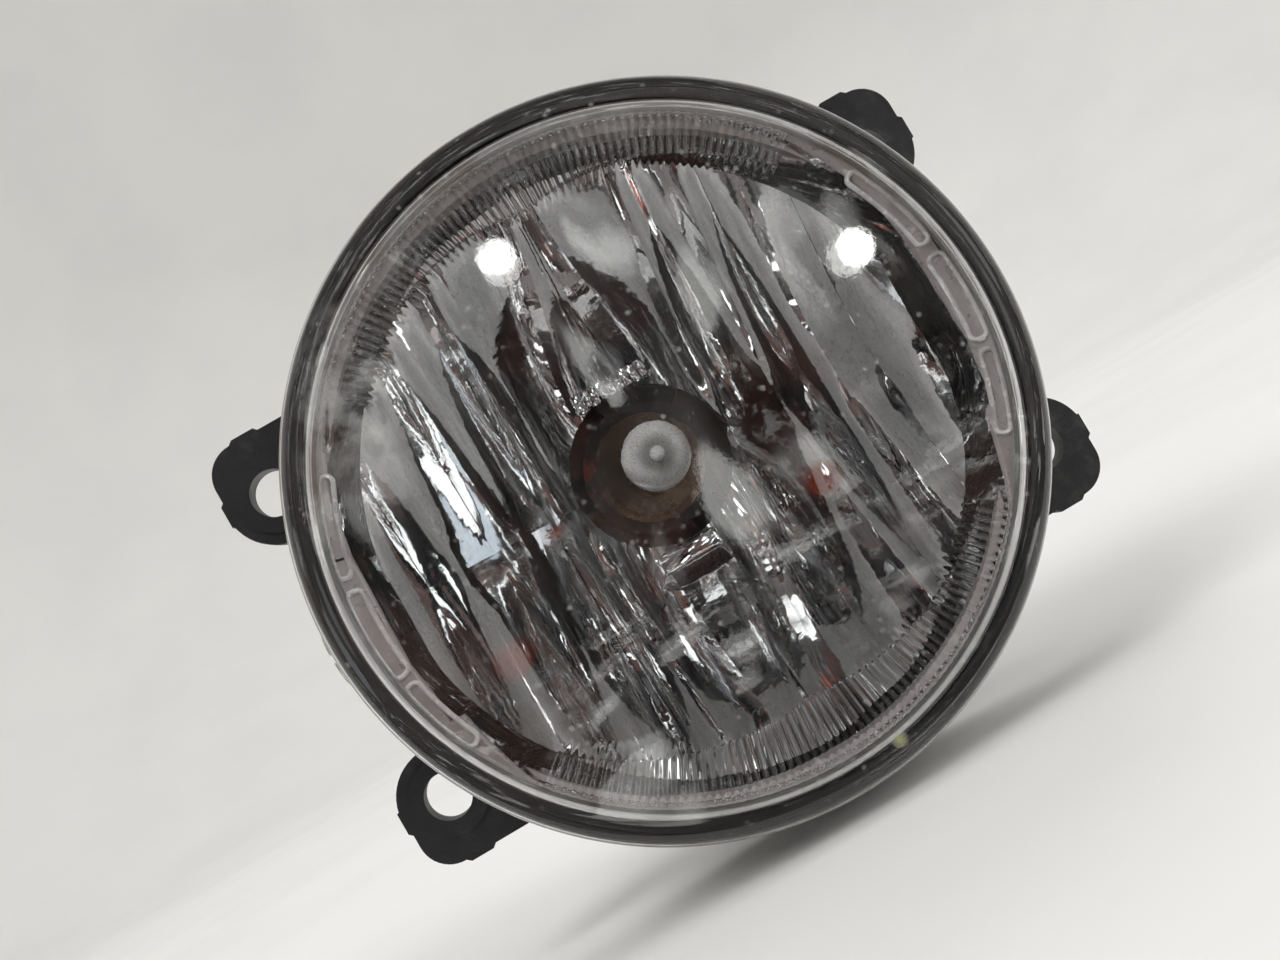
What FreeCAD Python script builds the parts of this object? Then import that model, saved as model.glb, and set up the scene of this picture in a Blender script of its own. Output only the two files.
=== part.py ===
import FreeCAD, Part
import math
import os

# Round front fog lamp: a lamp unit that tilts in a four-eared mounting bracket, set by an
# adjuster screw, with a twist-lock bulb in the back.
# Millimetres. +Z is up, the lens faces -Y and +X is to the right seen from the front.
# The origin is the middle of the four ear holes, in the plane of the ears' seating faces.

# Driving dimensions -------------------------------------------------------------------
LENS_RADIUS = 45.6
LENS_FRONT_Y = -31.6        # top of the dome
RIM_FRONT_Y = -28.6         # where the dome meets the rounded shoulder
SHOULDER_RADIUS = 3.4
LENS_WALL = 2.6
SEAL_FRONT_Y = -23.8        # front edge of the seal's upstand
TONGUE_OUTER = 43.85        # part of the lens skirt that stands in the housing channel
TONGUE_INNER = 42.55
TONGUE_Y = -12.6
LIP_RADIUS = 45.0           # housing's outer lip, just inside the lens rim
LIP_FRONT_Y = -16.4         # front edge of the housing's outer lip

HOLE_X = 45.5               # ear holes, from the middle
HOLE_Z = 23.0
HOLE_RADIUS = 3.2
EAR_FRONT_Y = 0.4
EAR_BACK_Y = 4.4
EAR_PAD_RADIUS = 5.3
EAR_ROUND = 6.85            # round side of an ear
EAR_SIDE = 6.5              # straight sides of an ear
EAR_FLANK = 8.4
EAR_CORNER = 4.4
EAR_TAB = 0.5               # small raised tabs on the ear's edge
RING_INNER = 42.5
RING_OUTER = 46.5
RING_FRONT_Y = -3.0
RING_BACK_Y = 7.0

OPTICAL_Z = 1.5             # the optical axis is a little above the middle of the lens
FOCAL_LENGTH = 15.1
OPENING_RADIUS = 11.4       # reflector hole round the bulb
OPENING_Y = 11.0
REFLECTOR_WALL = 2.0
BOWL_RADIUS = 39.0
FLANGE_OUTER = 41.8
FLANGE_FRONT_Y = -22.6
FLANGE_BACK_Y = -21.1

PIVOT_Y = 2.0               # tilt axis, along X
PIVOT_RADIUS = 2.5
RUNNING_CLEARANCE = 0.05
BUSH_RADIUS = 4.0

ADJUSTER_Z = 36.0           # adjuster screw axis, along Y
SCREW_RADIUS = 2.0
SCREW_PITCH = 1.5
NECK_RADIUS = 2.5
ADJUSTER_BUSH_RADIUS = 3.6
LUG_FRONT_Y = 19.0
LUG_BACK_Y = 23.0
NUT_Y = (10.0, 15.0)

NECK_OUTER = 15.5           # bulb neck at the back of the housing
NECK_BORE = 13.0
NECK_BACK_Y = 27.5
PILOT_RADIUS = 9.5          # standard 19 mm bulb pilot
COLLAR_Y = (19.0, 22.0)
LUG_TIP_RADIUS = 11.9
LUG_ANGLE = 24.0
TWIST_ANGLE = 35.0
GLASS_RADIUS = 4.4
GLASS_WALL = 0.8
GLASS_TIP_Y = -12.0
GLASS_FOOT_Y = 14.0
FILAMENT_Y = (-4.5, 0.5)

SOCKET_Y = (28.0, 42.0)     # plug socket at the back of the bulb, opening downwards
SOCKET_HALF_WIDTH = 9.0
SOCKET_DROP = 27.0          # from the optical axis to the socket's mouth
SOCKET_WALL = 1.8
SOCKET_DEPTH = 14.0
BLADE_X = 3.3
BLADE_SIZE = (0.8, 2.8)

SCREW_CIRCLE = 27.0         # reflector screws, round the lens axis
SCREW_ANGLES = (30.0, 150.0, 270.0)
BOSS_Y = 7.0                # back face of the reflector bosses
BOSS_RADIUS = 2.4
PAD_RADIUS = 3.8
SPOT_Y = 12.5               # seat of the screw heads on the housing
RIB_COUNT = 12
RIB_HEIGHT = 1.4
RIB_WIDTH = 1.3
VENT_X = -20.0
VENT_Z = 19.0
NIPPLE_BACK_Y = 19.5
VENT_CAP_Y = (15.2, 23.0)


# Geometry helpers ---------------------------------------------------------------------
def vector(x, y, z):
    return FreeCAD.Vector(x, y, z)


def outline(start, *steps):
    """Closed face in the XY plane. A step is a point, or a pair (via, end) for an arc."""
    edges = []
    here = vector(start[0], start[1], 0)
    first = here
    for step in steps:
        if isinstance(step[0], tuple):
            via = vector(step[0][0], step[0][1], 0)
            end = vector(step[1][0], step[1][1], 0)
            edges.append(Part.Arc(here, via, end).toShape())
        else:
            end = vector(step[0], step[1], 0)
            edges.append(Part.LineSegment(here, end).toShape())
        here = end
    if here.distanceToPoint(first) > 1e-6:
        edges.append(Part.LineSegment(here, first).toShape())
    return Part.Face(Part.Wire(edges))


def crown_mid(top_y, edge_radius, edge_y):
    """Halfway point of an arc from the axis to an edge, with its centre on the axis."""
    drop = edge_y - top_y
    radius = (edge_radius ** 2 + drop ** 2) / (2 * drop)
    half = math.asin(edge_radius / radius) / 2
    return radius * math.sin(half), top_y + radius * (1 - math.cos(half))


def turned(face, z=0.0):
    """Solid of revolution about a Y axis. The face holds (radius, y) points."""
    solid = face.revolve(vector(0, 0, 0), vector(0, 1, 0), 360)
    solid.translate(vector(0, 0, z))
    return solid


def rod_y(radius, y0, y1, x=0.0, z=0.0):
    return Part.makeCylinder(radius, y1 - y0, vector(x, y0, z), vector(0, 1, 0))


def rod_x(radius, x0, x1, y=0.0, z=0.0):
    return Part.makeCylinder(radius, x1 - x0, vector(x0, y, z), vector(1, 0, 0))


def block(x, y, z):
    """Box between the pairs of limits x, y and z."""
    return Part.makeBox(x[1] - x[0], y[1] - y[0], z[1] - z[0], vector(x[0], y[0], z[0]))


def tube_y(outer, inner, y0, y1, x=0.0, z=0.0):
    return rod_y(outer, y0, y1, x, z).cut(rod_y(inner, y0 - 1, y1 + 1, x, z))


def sector(r0, r1, y0, y1, middle, width, z=0.0):
    """Piece of a ring about a Y axis; angles in degrees, from +X towards +Z."""
    ring = tube_y(r1, r0, y0, y1)
    reach = 2 * r1
    half = math.radians(width / 2)
    corners = [
        vector(0, y0 - 1, 0),
        vector(reach * math.cos(half), y0 - 1, reach * math.sin(half)),
        vector(reach * math.cos(half), y0 - 1, -reach * math.sin(half)),
        vector(0, y0 - 1, 0),
    ]
    wedge = Part.Face(Part.makePolygon(corners)).extrude(vector(0, y1 - y0 + 2, 0))
    piece = ring.common(wedge)
    piece.rotate(vector(0, 0, 0), vector(0, 1, 0), -middle)
    piece.translate(vector(0, 0, z))
    return piece


def joined(shapes):
    """One clean solid from overlapping or touching shapes."""
    return shapes[0].multiFuse(shapes[1:]).removeSplitter()


def mirrored_x(shape):
    return shape.mirror(vector(0, 0, 0), vector(1, 0, 0))


def mirrored_z(shape):
    return shape.mirror(vector(0, 0, 0), vector(0, 0, 1))


def on_circle(radius, angle):
    """X and Z of a point on a circle about the lens axis."""
    a = math.radians(angle)
    return radius * math.cos(a), radius * math.sin(a)


# Bracket ------------------------------------------------------------------------------
def ear():
    """Upper right ear: round towards the middle height, square towards the top."""
    diagonal = EAR_ROUND * math.sqrt(0.5)
    low = -1.3
    side_start = math.sqrt(EAR_ROUND ** 2 - low ** 2)
    bend = EAR_CORNER * (1 - math.sqrt(0.5))
    face = outline(
        (-16.0, -EAR_ROUND),
        (0.0, -EAR_ROUND),
        ((diagonal, -diagonal), (side_start, low)),
        (EAR_SIDE + EAR_TAB, low),
        (EAR_SIDE + EAR_TAB, 1.75),
        (EAR_SIDE, 2.2),
        (EAR_SIDE, EAR_FLANK - EAR_CORNER),
        ((EAR_SIDE - bend, EAR_FLANK - bend), (EAR_SIDE - EAR_CORNER, EAR_FLANK)),
        (1.5, EAR_FLANK + EAR_TAB),
        (-1.75, EAR_FLANK + EAR_TAB),
        (-2.2, EAR_FLANK),
        (-16.0, EAR_FLANK),
    )
    plate = face.extrude(vector(0, 0, EAR_BACK_Y - EAR_FRONT_Y))
    # The outline lies in XY; stand it up in XZ with its front at EAR_FRONT_Y.
    plate.rotate(vector(0, 0, 0), vector(1, 0, 0), 90)
    plate.translate(vector(HOLE_X, EAR_BACK_Y, HOLE_Z))
    pad = rod_y(EAR_PAD_RADIUS, 0, EAR_FRONT_Y, HOLE_X, HOLE_Z)
    flank_rib = block((HOLE_X - 14, HOLE_X - 1), (EAR_BACK_Y, 8.5),
                      (HOLE_Z + EAR_FLANK - 2.2, HOLE_Z + EAR_FLANK))
    round_rib = block((HOLE_X - 14, HOLE_X - 1), (EAR_BACK_Y, 7.5),
                      (HOLE_Z - EAR_ROUND, HOLE_Z - EAR_ROUND + 2.0))
    return joined([plate, pad, flank_rib, round_rib])


def mounting_bracket():
    ring = tube_y(RING_OUTER, RING_INNER - 2, RING_FRONT_Y, RING_BACK_Y)
    upper = ear()
    ears = [upper, mirrored_x(upper), mirrored_z(upper), mirrored_x(mirrored_z(upper))]
    pivot_boss = rod_x(6.5, RING_INNER - 2, 47.0, PIVOT_Y)
    arm = block((-8.0, 8.0), (0.0, LUG_BACK_Y), (43.2, RING_OUTER))
    plate = block((-8.0, 8.0), (LUG_FRONT_Y, LUG_BACK_Y), (ADJUSTER_Z - 6.5, RING_OUTER))
    webs = []
    for x in (-8.0, 6.0):
        webs.append(block((x, x + 2.0), (LUG_FRONT_Y - 1.0, LUG_BACK_Y), (ADJUSTER_Z - 6.5, RING_OUTER)))
    foot_rib = block((-5.0, 5.0), (RING_FRONT_Y, RING_BACK_Y), (-RING_OUTER - 1.5, -RING_OUTER + 1))
    body = joined([ring, pivot_boss, mirrored_x(pivot_boss), arm, plate, foot_rib] + webs + ears)
    body = body.cut(rod_y(RING_INNER, RING_FRONT_Y - 5, RING_BACK_Y + 5))
    for sx in (-1, 1):
        x0, x1 = sorted((sx * 30, sx * 60))
        body = body.cut(rod_x(BUSH_RADIUS, x0, x1, PIVOT_Y))
        for sz in (-1, 1):
            body = body.cut(rod_y(HOLE_RADIUS, -5, 20, sx * HOLE_X, sz * HOLE_Z))
    body = body.cut(rod_y(ADJUSTER_BUSH_RADIUS, LUG_FRONT_Y - 5, LUG_BACK_Y + 5, z=ADJUSTER_Z))
    return body.removeSplitter()


def pivot_bush():
    """Right-hand flanged bush for the tilt pin."""
    sleeve = rod_x(BUSH_RADIUS, 42.6, 47.0, PIVOT_Y)
    flange = rod_x(5.4, 47.0, 47.7, PIVOT_Y)
    bore = rod_x(PIVOT_RADIUS + RUNNING_CLEARANCE, 40.0, 50.0, PIVOT_Y)
    return joined([sleeve, flange]).cut(bore)


def adjuster_bush():
    sleeve = rod_y(ADJUSTER_BUSH_RADIUS, LUG_FRONT_Y, LUG_BACK_Y, z=ADJUSTER_Z)
    flange = rod_y(5.0, LUG_BACK_Y, LUG_BACK_Y + 0.8, z=ADJUSTER_Z)
    bore = rod_y(NECK_RADIUS + RUNNING_CLEARANCE, 10, 30, z=ADJUSTER_Z)
    return joined([sleeve, flange]).cut(bore)


# Lens, seal, reflector and housing ----------------------------------------------------
def front_lens():
    """Clear domed lens with a rounded shoulder, a skirt and a tongue for the channel."""
    edge = LENS_RADIUS - SHOULDER_RADIUS
    dome_mid = crown_mid(LENS_FRONT_Y, edge, RIM_FRONT_Y)
    bend = SHOULDER_RADIUS * math.sqrt(0.5)
    inner_edge = TONGUE_INNER - 2.0
    inner_y = RIM_FRONT_Y + LENS_WALL
    inner_mid = crown_mid(LENS_FRONT_Y + LENS_WALL, inner_edge, inner_y)
    face = outline(
        (0.0, LENS_FRONT_Y),
        (dome_mid, (edge, RIM_FRONT_Y)),
        ((edge + bend, RIM_FRONT_Y + SHOULDER_RADIUS - bend), (LENS_RADIUS, RIM_FRONT_Y + SHOULDER_RADIUS)),
        (LENS_RADIUS, LIP_FRONT_Y - 0.2),
        (TONGUE_OUTER, LIP_FRONT_Y - 0.2),
        (TONGUE_OUTER, TONGUE_Y),
        (TONGUE_INNER, TONGUE_Y),
        (TONGUE_INNER, inner_y + 2.0),
        ((TONGUE_INNER - 0.6, inner_y + 0.6), (inner_edge, inner_y)),
        (inner_mid, (0.0, LENS_FRONT_Y + LENS_WALL)),
    )
    return turned(face)


def lens_seal():
    """Rubber seal: a pad under the lens tongue and an upstand inside the skirt."""
    face = outline(
        (41.9, -11.6),
        (43.85, -11.6),
        (43.85, TONGUE_Y),
        (42.5, TONGUE_Y),
        (42.5, SEAL_FRONT_Y),
        (41.9, SEAL_FRONT_Y),
    )
    return turned(face)


def bowl_y(radius):
    """Depth of the reflecting paraboloid at a radius from the optical axis."""
    vertex = OPENING_Y + OPENING_RADIUS ** 2 / (4 * FOCAL_LENGTH)
    return vertex - radius ** 2 / (4 * FOCAL_LENGTH)


def bowl_solid(offset, front_y):
    """Solid in front of the paraboloid, moved back by an offset."""
    reach = BOWL_RADIUS + 6.0
    count = 12
    points = []
    for i in range(count + 1):
        r = reach * i / count
        points.append(vector(r, bowl_y(r) + offset, 0))
    curve = Part.BSplineCurve()
    curve.interpolate(points)
    top = vector(0, front_y, 0)
    corner = vector(reach, front_y, 0)
    wire = Part.Wire([
        curve.toShape(),
        Part.LineSegment(points[-1], corner).toShape(),
        Part.LineSegment(corner, top).toShape(),
        Part.LineSegment(top, points[0]).toShape(),
    ])
    return turned(Part.Face(wire), OPTICAL_Z)


def reflector():
    """Bowl with a flange round the front and three screw bosses on its back."""
    shell = bowl_solid(REFLECTOR_WALL, -40.0).common(rod_y(BOWL_RADIUS + 1.2, FLANGE_BACK_Y, 20))
    bosses = []
    for angle in SCREW_ANGLES:
        x, z = on_circle(SCREW_CIRCLE, angle)
        bosses.append(rod_y(BOSS_RADIUS, -12.0, BOSS_Y, x, z))
    skirt = rod_y(BOWL_RADIUS + 1.2, FLANGE_FRONT_Y, -10.5)
    flange = rod_y(FLANGE_OUTER, FLANGE_FRONT_Y, FLANGE_BACK_Y)
    body = joined([shell, skirt, flange] + bosses)
    front = bowl_solid(0.0, -40.0).common(rod_y(BOWL_RADIUS, -40.0, 20.0))
    body = body.cut(front)
    body = body.cut(rod_y(OPENING_RADIUS, 0.0, 25.0, z=OPTICAL_Z))
    for angle in SCREW_ANGLES:
        x, z = on_circle(SCREW_CIRCLE, angle)
        body = body.cut(rod_y(1.4, BOSS_Y - 3.5, BOSS_Y + 1, x, z))
    return body.removeSplitter()


def housing_ribs():
    """Radial stiffening ribs on the back of the housing."""
    raised = turned(outline(
        (41.0, -4.0 + RIB_HEIGHT),
        ((38.0 + RIB_HEIGHT, 1.4 + RIB_HEIGHT), (35.0, 5.2 + 1.5 * RIB_HEIGHT)),
        ((29.0, 10.6 + 1.3 * RIB_HEIGHT), (22.0, 14.6 + RIB_HEIGHT)),
        (17.0, 17.0 + RIB_HEIGHT),
        (10.0, 17.0 + RIB_HEIGHT),
        (10.0, 15.0),
        (21.0, 13.5),
        ((28.0, 9.6), (34.0, 4.4)),
        (38.0, -4.0),
    ))
    blades = []
    for i in range(RIB_COUNT):
        blade = block((0.0, 38.5), (-6.0, 20.0), (-RIB_WIDTH / 2, RIB_WIDTH / 2))
        blade.rotate(vector(0, 0, 0), vector(0, 1, 0), 15 + 360 / RIB_COUNT * i)
        blades.append(blade)
    ribs = raised.common(Part.makeCompound(blades))
    return ribs.cut(rod_y(5.6, 0.0, 30.0, VENT_X, VENT_Z))


def rear_housing():
    """Bowl-shaped shell with the lens channel, bulb neck, pivot bosses and nut fork."""
    inner_steps = [
        (16.0, 14.8),
        (21.0, 12.4),
        ((27.4, 8.7), (33.4, 3.5)),
        ((36.0, 0.2), (37.8, -5.0)),
    ]
    face = outline(
        (LIP_RADIUS, LIP_FRONT_Y),
        (LIP_RADIUS, -9.5),
        (42.8, -9.5),
        (40.0, -4.0),
        ((38.0, 1.4), (35.0, 5.2)),
        ((29.0, 10.6), (22.0, 14.6)),
        (17.0, 17.0),
        (0.0, 17.0),
        (0.0, 14.8),
        *inner_steps,
        (40.6, -10.4),
        (40.6, -13.2),
        (41.9, -13.2),
        (41.9, -11.6),
        (43.85, -11.6),
        (43.85, LIP_FRONT_Y),
    )
    shell = turned(face)
    neck = rod_y(NECK_OUTER, 14.8, NECK_BACK_Y, z=OPTICAL_Z)
    pads = []
    for angle in SCREW_ANGLES:
        x, z = on_circle(SCREW_CIRCLE, angle)
        pads.append(rod_y(PAD_RADIUS, BOSS_Y, SPOT_Y, x, z))
    pivot_boss = rod_x(5.0, 35.5, 41.6, PIVOT_Y)
    nipple = rod_y(3.0, 9.0, NIPPLE_BACK_Y, VENT_X, VENT_Z)
    fork = []
    for x in (-6.5, 4.5):
        fork.append(block((x, x + 2.0), (0.5, NUT_Y[1] + 0.5), (ADJUSTER_Z - 6.0, ADJUSTER_Z + 4.5)))
    shelf = block((-6.5, 6.5), (2.0, NUT_Y[1] + 0.5), (ADJUSTER_Z - 6.0, ADJUSTER_Z - 4.5))
    body = joined([shell, neck, pivot_boss, mirrored_x(pivot_boss), nipple, shelf] + fork)
    inside = turned(outline((0.0, 14.8), *inner_steps, (37.8, -20.0), (0.0, -20.0)))
    body = joined([body.cut(inside)] + pads + housing_ribs().Solids)
    body = body.cut(rod_y(NECK_BORE, 10.0, 40.0, z=OPTICAL_Z))
    body = body.cut(rod_y(1.8, 5.0, 25.0, VENT_X, VENT_Z))
    for angle in SCREW_ANGLES:
        x, z = on_circle(SCREW_CIRCLE, angle)
        body = body.cut(rod_y(PAD_RADIUS - 0.2, SPOT_Y, 25.0, x, z))
        body = body.cut(rod_y(1.6, 0.0, 20.0, x, z))
    for sx in (-1, 1):
        x0, x1 = sorted((sx * 36.5, sx * 50))
        body = body.cut(rod_x(PIVOT_RADIUS, x0, x1, PIVOT_Y))
    return body.removeSplitter()


def bulb_collar():
    """Keyed ring in the neck that the bulb's lugs lock behind."""
    ring = tube_y(NECK_BORE, PILOT_RADIUS + 0.08, COLLAR_Y[0], COLLAR_Y[1], z=OPTICAL_Z)
    for i in range(3):
        notch = sector(PILOT_RADIUS - 1, LUG_TIP_RADIUS + 0.3, COLLAR_Y[0] - 1, COLLAR_Y[1] + 1,
                       90 + 120 * i - TWIST_ANGLE, LUG_ANGLE + 6, OPTICAL_Z)
        ring = ring.cut(notch)
    return ring


def pivot_pin():
    """Right-hand tilt pin, pressed into the housing boss through the bush."""
    shaft = rod_x(PIVOT_RADIUS, 36.5, 48.1, PIVOT_Y)
    head = rod_x(4.2, 48.1, 49.4, PIVOT_Y)
    slot = block((48.9, 50.0), (PIVOT_Y - 4.5, PIVOT_Y + 4.5), (-0.6, 0.6))
    return joined([shaft, head]).cut(slot)


def adjuster_nut():
    """Block in the housing fork. Its slot lets it ride up and down on the screw."""
    body = block((-4.5, 4.5), NUT_Y, (ADJUSTER_Z - 4.5, ADJUSTER_Z + 4.5))
    slot = joined([
        block((-2.4, 2.4), (NUT_Y[0] - 1, NUT_Y[1] + 1), (ADJUSTER_Z - 1.0, ADJUSTER_Z + 1.0)),
        rod_y(2.4, NUT_Y[0] - 1, NUT_Y[1] + 1, z=ADJUSTER_Z - 1.0),
        rod_y(2.4, NUT_Y[0] - 1, NUT_Y[1] + 1, z=ADJUSTER_Z + 1.0),
    ])
    return body.cut(slot)


def vent_cap():
    """Cup pressed over the housing nipple, open to the air through four slots."""
    front, back = VENT_CAP_Y
    slot_back = back - 1.5
    body = rod_y(5.0, front, back, VENT_X, VENT_Z)
    body = body.cut(rod_y(3.0, front - 1, slot_back, VENT_X, VENT_Z))
    for i in range(4):
        slot = block((-6.0, 6.0), (NIPPLE_BACK_Y + 0.8, slot_back), (-0.8, 0.8))
        slot.rotate(vector(0, 0, 0), vector(0, 1, 0), 45 * i)
        slot.translate(vector(VENT_X, 0, VENT_Z))
        body = body.cut(slot)
    return body


def vent_membrane():
    return rod_y(2.9, NIPPLE_BACK_Y, NIPPLE_BACK_Y + 0.5, VENT_X, VENT_Z)


def reflector_screws():
    """Three screws from the back of the housing into the reflector bosses."""
    screws = []
    for angle in SCREW_ANGLES:
        x, z = on_circle(SCREW_CIRCLE, angle)
        shaft = rod_y(1.4, BOSS_Y - 3.5, SPOT_Y, x, z)
        screw = joined([shaft, rod_y(3.0, SPOT_Y, SPOT_Y + 2.1, x, z)])
        for long_x, long_z in ((3.4, 0.8), (0.8, 3.4)):
            screw = screw.cut(block((x - long_x / 2, x + long_x / 2), (SPOT_Y + 0.9, SPOT_Y + 3.0),
                                    (z - long_z / 2, z + long_z / 2)))
        screws.append(screw)
    return Part.makeCompound(screws)


# Bulb ---------------------------------------------------------------------------------
def bulb_base():
    """Pilot, flange with a seal groove and three locking lugs."""
    nose = rod_y(PILOT_RADIUS, 16.0, 23.0, z=OPTICAL_Z)
    flange = rod_y(12.5, 23.0, SOCKET_Y[0], z=OPTICAL_Z)
    lugs = []
    for i in range(3):
        lugs.append(sector(PILOT_RADIUS - 1, LUG_TIP_RADIUS, 16.2, COLLAR_Y[0] - 0.4,
                           90 + 120 * i, LUG_ANGLE, OPTICAL_Z))
    groove = tube_y(14.0, 10.55, 24.3, 26.7, z=OPTICAL_Z)
    return joined([nose, flange] + lugs).cut(groove)


def bulb_o_ring():
    ring = Part.makeTorus(11.76, 1.19, vector(0, 25.5, OPTICAL_Z), vector(0, 1, 0))
    return ring


def bulb_metal_cup():
    """Metal cup that grips the foot of the glass."""
    face = outline(
        (GLASS_RADIUS, 13.0),
        (6.7, 13.0),
        (6.7, 14.8),
        (7.8, 14.8),
        (7.8, 16.0),
        (0.0, 16.0),
        (0.0, GLASS_FOOT_Y + 0.4),
        (GLASS_RADIUS, GLASS_FOOT_Y + 0.4),
    )
    return turned(face, OPTICAL_Z)


def bulb_glass():
    """Tubular glass envelope, open at the foot, with the sealed-off nub at its tip."""
    inner = GLASS_RADIUS - GLASS_WALL
    tip = GLASS_TIP_Y
    shoulder = tip + GLASS_RADIUS * 0.8
    nub = tip - 0.7
    foot = GLASS_FOOT_Y + 0.4
    face = outline(
        (0.0, nub),
        (crown_mid(nub, 0.75, tip + 0.02), (0.75, tip + 0.02)),
        ((GLASS_RADIUS * 0.72, tip + GLASS_RADIUS * 0.24), (GLASS_RADIUS, shoulder)),
        (GLASS_RADIUS, foot),
        (inner, foot),
        (inner, shoulder),
        (crown_mid(tip + GLASS_WALL, inner, shoulder), (0.0, tip + GLASS_WALL)),
    )
    return turned(face, OPTICAL_Z)


def filament():
    return rod_y(0.75, FILAMENT_Y[0], FILAMENT_Y[1], z=OPTICAL_Z)


def support_wires():
    """Two lead wires that hold the filament's ends."""
    wire = 0.35
    reach = 2.3
    wires = []
    for side, end_y in ((1, FILAMENT_Y[0] - wire), (-1, FILAMENT_Y[1] + wire)):
        post = rod_y(wire, end_y, GLASS_FOOT_Y + 0.4, side * reach, OPTICAL_Z)
        x0, x1 = sorted((0.0, side * reach))
        wires.append(joined([post, rod_x(wire, x0, x1, end_y, OPTICAL_Z)]))
    return Part.makeCompound(wires)


def bulb_terminals():
    """Two flat blades that stand in the plug socket."""
    thick, wide = BLADE_SIZE
    middle = sum(SOCKET_Y) / 2
    blades = []
    for x in (-BLADE_X, BLADE_X):
        blades.append(block((x - thick / 2, x + thick / 2), (middle - wide / 2, middle + wide / 2),
                            (OPTICAL_Z - SOCKET_DROP + 3.0, OPTICAL_Z - 8.0)))
    return Part.makeCompound(blades)


def connector_shell():
    """Right-angle plug socket behind the bulb's flange."""
    top = OPTICAL_Z + 9.0
    bottom = OPTICAL_Z - SOCKET_DROP
    body = block((-SOCKET_HALF_WIDTH, SOCKET_HALF_WIDTH), SOCKET_Y, (bottom, top))
    upright = [e for e in body.Edges if abs(e.tangentAt(e.FirstParameter).z) > 0.9]
    body = body.makeFillet(2.0, upright)
    cavity = block(
        (-SOCKET_HALF_WIDTH + SOCKET_WALL, SOCKET_HALF_WIDTH - SOCKET_WALL),
        (SOCKET_Y[0] + SOCKET_WALL + 0.5, SOCKET_Y[1] - SOCKET_WALL),
        (bottom - 1.0, bottom + SOCKET_DEPTH),
    )
    hub = rod_y(11.5, SOCKET_Y[0], SOCKET_Y[0] + 3.0, z=OPTICAL_Z)
    latch = block((-2.5, 2.5), (SOCKET_Y[1], SOCKET_Y[1] + 1.4), (bottom + 4.0, bottom + 9.0))
    grips = []
    for x in (-SOCKET_HALF_WIDTH - 1.0, SOCKET_HALF_WIDTH):
        for y in (31.0, 34.5, 38.0):
            grips.append(block((x, x + 1.0), (y, y + 1.4), (bottom + SOCKET_DEPTH, top - 2.0)))
    body = joined([body, hub, latch] + grips).cut(cavity)
    return body.cut(bulb_terminals()).removeSplitter()


# Adjuster -----------------------------------------------------------------------------
def adjuster_screw():
    """Screw with thread ridges in front, a clip groove and a plain neck."""
    root = SCREW_RADIUS - 0.45
    start = NUT_Y[0] - 0.6
    face_points = [(root, start)]
    y = start
    while y + SCREW_PITCH < COLLAR_Y[0] - 1.6:
        face_points.append((SCREW_RADIUS, y + SCREW_PITCH / 2))
        face_points.append((root, y + SCREW_PITCH))
        y += SCREW_PITCH
    face_points += [(SCREW_RADIUS, y), (SCREW_RADIUS, LUG_FRONT_Y - 0.4),
                    (NECK_RADIUS, LUG_FRONT_Y - 0.4), (NECK_RADIUS, 28.4), (0.0, 28.4), (0.0, start)]
    return turned(outline(face_points[0], *face_points[1:]), ADJUSTER_Z)


def adjuster_clip():
    """Open clip round the screw, in front of the bracket lug."""
    ring = tube_y(3.6, SCREW_RADIUS, LUG_FRONT_Y - 1.3, LUG_FRONT_Y - 0.4, z=ADJUSTER_Z)
    return ring.cut(block((-1.2, 1.2), (10.0, 30.0), (ADJUSTER_Z, ADJUSTER_Z + 6.0)))


def adjuster_knob():
    """Toothed wheel on the back of the screw, with a hexagon socket."""
    back = 28.4
    front = LUG_BACK_Y + 1.2
    wheel = rod_y(5.6, front, back, z=ADJUSTER_Z)
    for i in range(12):
        groove = rod_y(0.9, front - 1, back + 1, *on_circle(5.9, 30 * i))
        groove.translate(vector(0, 0, ADJUSTER_Z))
        wheel = wheel.cut(groove)
    hub = rod_y(4.2, back, back + 3.0, z=ADJUSTER_Z)
    body = joined([wheel, hub])
    body = body.cut(rod_y(NECK_RADIUS, front - 1, back, z=ADJUSTER_Z))
    corners = []
    for i in range(7):
        x, z = on_circle(2.9, 60 * i)
        corners.append(vector(x, back, z + ADJUSTER_Z))
    socket = Part.Face(Part.makePolygon(corners)).extrude(vector(0, 5.0, 0))
    return body.cut(socket)


# Export -------------------------------------------------------------------------------
NODES = {
    "mounting_bracket": mounting_bracket(),
    "pivot_bush_right": pivot_bush(),
    "pivot_bush_left": mirrored_x(pivot_bush()),
    "adjuster_bush": adjuster_bush(),
    "front_lens": front_lens(),
    "lens_seal": lens_seal(),
    "reflector": reflector(),
    "rear_housing": rear_housing(),
    "bulb_collar": bulb_collar(),
    "pivot_pin_right": pivot_pin(),
    "pivot_pin_left": mirrored_x(pivot_pin()),
    "adjuster_nut": adjuster_nut(),
    "vent_cap": vent_cap(),
    "vent_membrane": vent_membrane(),
    "reflector_screws": reflector_screws(),
    "bulb_base": bulb_base(),
    "bulb_o_ring": bulb_o_ring(),
    "bulb_metal_cup": bulb_metal_cup(),
    "bulb_glass": bulb_glass(),
    "bulb_filament": filament(),
    "bulb_support_wires": support_wires(),
    "bulb_terminals": bulb_terminals(),
    "bulb_connector_shell": connector_shell(),
    "adjuster_screw": adjuster_screw(),
    "adjuster_clip": adjuster_clip(),
    "adjuster_knob": adjuster_knob(),
}

os.makedirs("parts", exist_ok=True)
for name, shape in NODES.items():
    shape.exportStep("parts/" + name + ".step")
    print(name, "solids", len(shape.Solids), "valid", shape.isValid(), "volume", round(shape.Volume, 1))
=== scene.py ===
import math

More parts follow.
